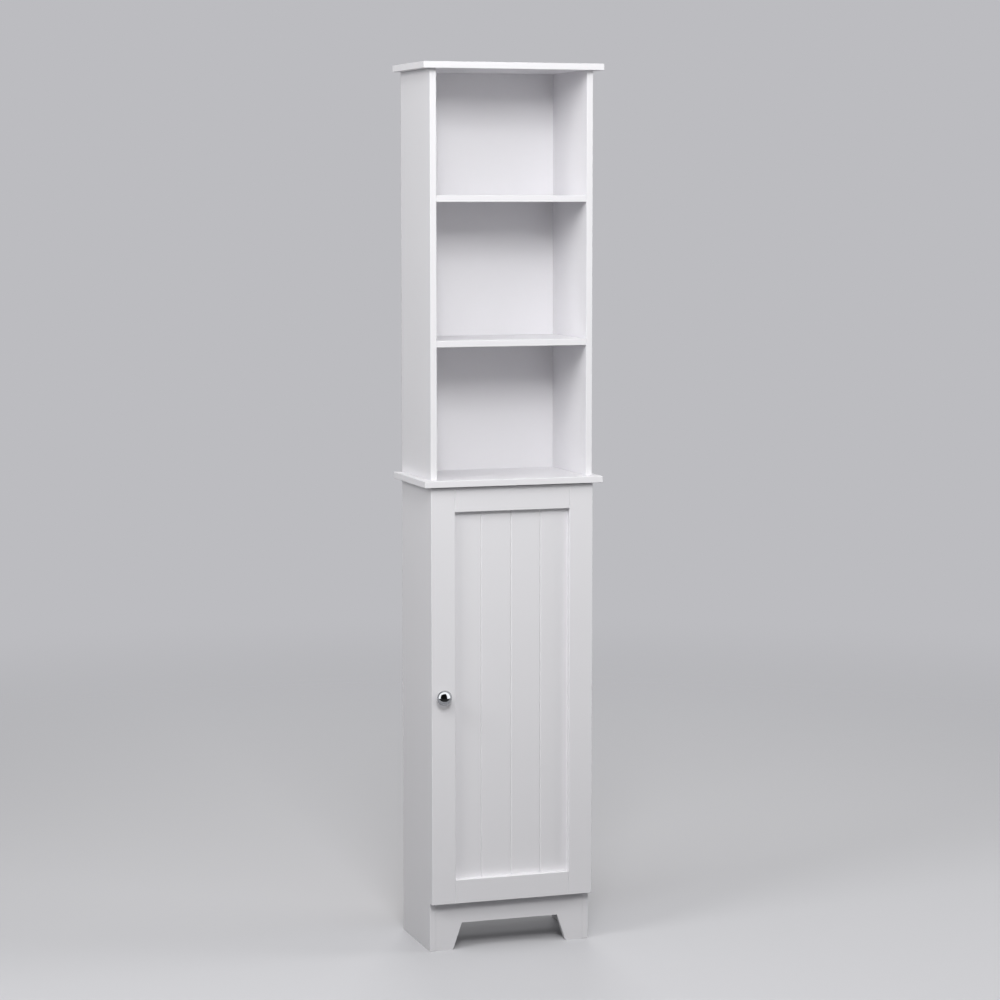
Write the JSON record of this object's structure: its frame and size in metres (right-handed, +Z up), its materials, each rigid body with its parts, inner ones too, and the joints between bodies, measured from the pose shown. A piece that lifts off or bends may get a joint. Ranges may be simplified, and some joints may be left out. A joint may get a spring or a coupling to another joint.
{
  "type": "bathroom cabinet",
  "caption": "Tall narrow free-standing bathroom cabinet: open shelf bays above, a cupboard with a hinged panelled door below, on feet cut out of the boards.",
  "frame": {"origin": "on the floor, in the middle of the overall width and of the overall depth", "axes": "+X to the right seen from the front, +Y from the front to the back, +Z up; the door faces -Y"},
  "size_m": [0.347, 0.225, 1.651],
  "materials": {
    "white_board": "satin",
    "white_door": "satin",
    "back_board": "matte",
    "beech": "matte",
    "white_plastic": "matte",
    "ferrite": "matte",
    "clear_pad": "gloss",
    "chrome": "polished",
    "nickel_steel": "satin",
    "fastener_steel": "satin",
    "zinc": "matte"
  },
  "bodies": {
    "cabinet": {"top_board": "white_board", "upper_side_left": "white_board", "upper_side_right": "white_board", "high_shelf": "white_board", "low_shelf": "white_board", "upper_back_panel": "back_board", "waist_board": "white_board", "lower_side_left": "white_board", "lower_side_right": "white_board", "deck_panel": "white_board", "lower_back_panel": "back_board", "apron": "white_board", "corner_brace_left": "white_board", "corner_brace_right": "white_board", "brace_screws": "fastener_steel", "inner_shelf": "white_board", "shelf_pins": "nickel_steel", "dowels": "beech", "cam_bolts": "fastener_steel", "cam_discs": "zinc", "board_screws": "fastener_steel", "screw_caps": "white_plastic", "magnetic_catch": "white_plastic", "catch_magnet": "ferrite", "catch_screws": "fastener_steel", "mounting_plate_lower": "nickel_steel", "mounting_plate_upper": "nickel_steel", "plate_screws": "fastener_steel", "hinge_arm_lower": "nickel_steel", "hinge_arm_upper": "nickel_steel", "arm_screws": "fastener_steel", "arm_rivets": "fastener_steel", "arm_pins": "fastener_steel", "tip_restraint_plate": "nickel_steel", "restraint_screws": "fastener_steel"},
    "door": {"door_stile_left": "white_door", "door_stile_right": "white_door", "door_rail_top": "white_door", "door_rail_bottom": "white_door", "door_panel": "white_door", "frame_dowels": "beech", "knob": "chrome", "knob_screw": "fastener_steel", "hinge_cup_lower": "nickel_steel", "hinge_cup_upper": "nickel_steel", "cup_rivets": "fastener_steel", "cup_pins": "fastener_steel", "cup_screws": "fastener_steel", "strike_plate": "nickel_steel", "strike_screws": "fastener_steel", "bumper_pads": "clear_pad"},
    "outer_links": {"outer_links": "nickel_steel"},
    "inner_links": {"inner_links": "nickel_steel"}
  },
  "joints": [
    {"name": "outer_link_swing", "type": "hinge", "parent": "cabinet", "child": "outer_links", "pos_m": [0.116, -0.06056, 0.48325], "axis": [0, 0, 1], "range_deg": [-29.98, 0]},
    {"name": "door_swing", "type": "hinge", "parent": "outer_links", "child": "door", "pos_m": [0.14723, -0.07285, 0.48325], "axis": [0, 0, 1], "range_deg": [0, 134.93]},
    {"name": "inner_link_swing", "type": "hinge", "parent": "door", "child": "inner_links", "pos_m": [0.14762, -0.07884, 0.48325], "axis": [0, 0, 1], "range_deg": [-119.75, 0]}
  ],
  "couplings": [
    {"joint": "outer_link_swing", "follows": "door_swing", "ratio": -0.22179},
    {"joint": "inner_link_swing", "follows": "door_swing", "ratio": -0.88716}
  ]
}
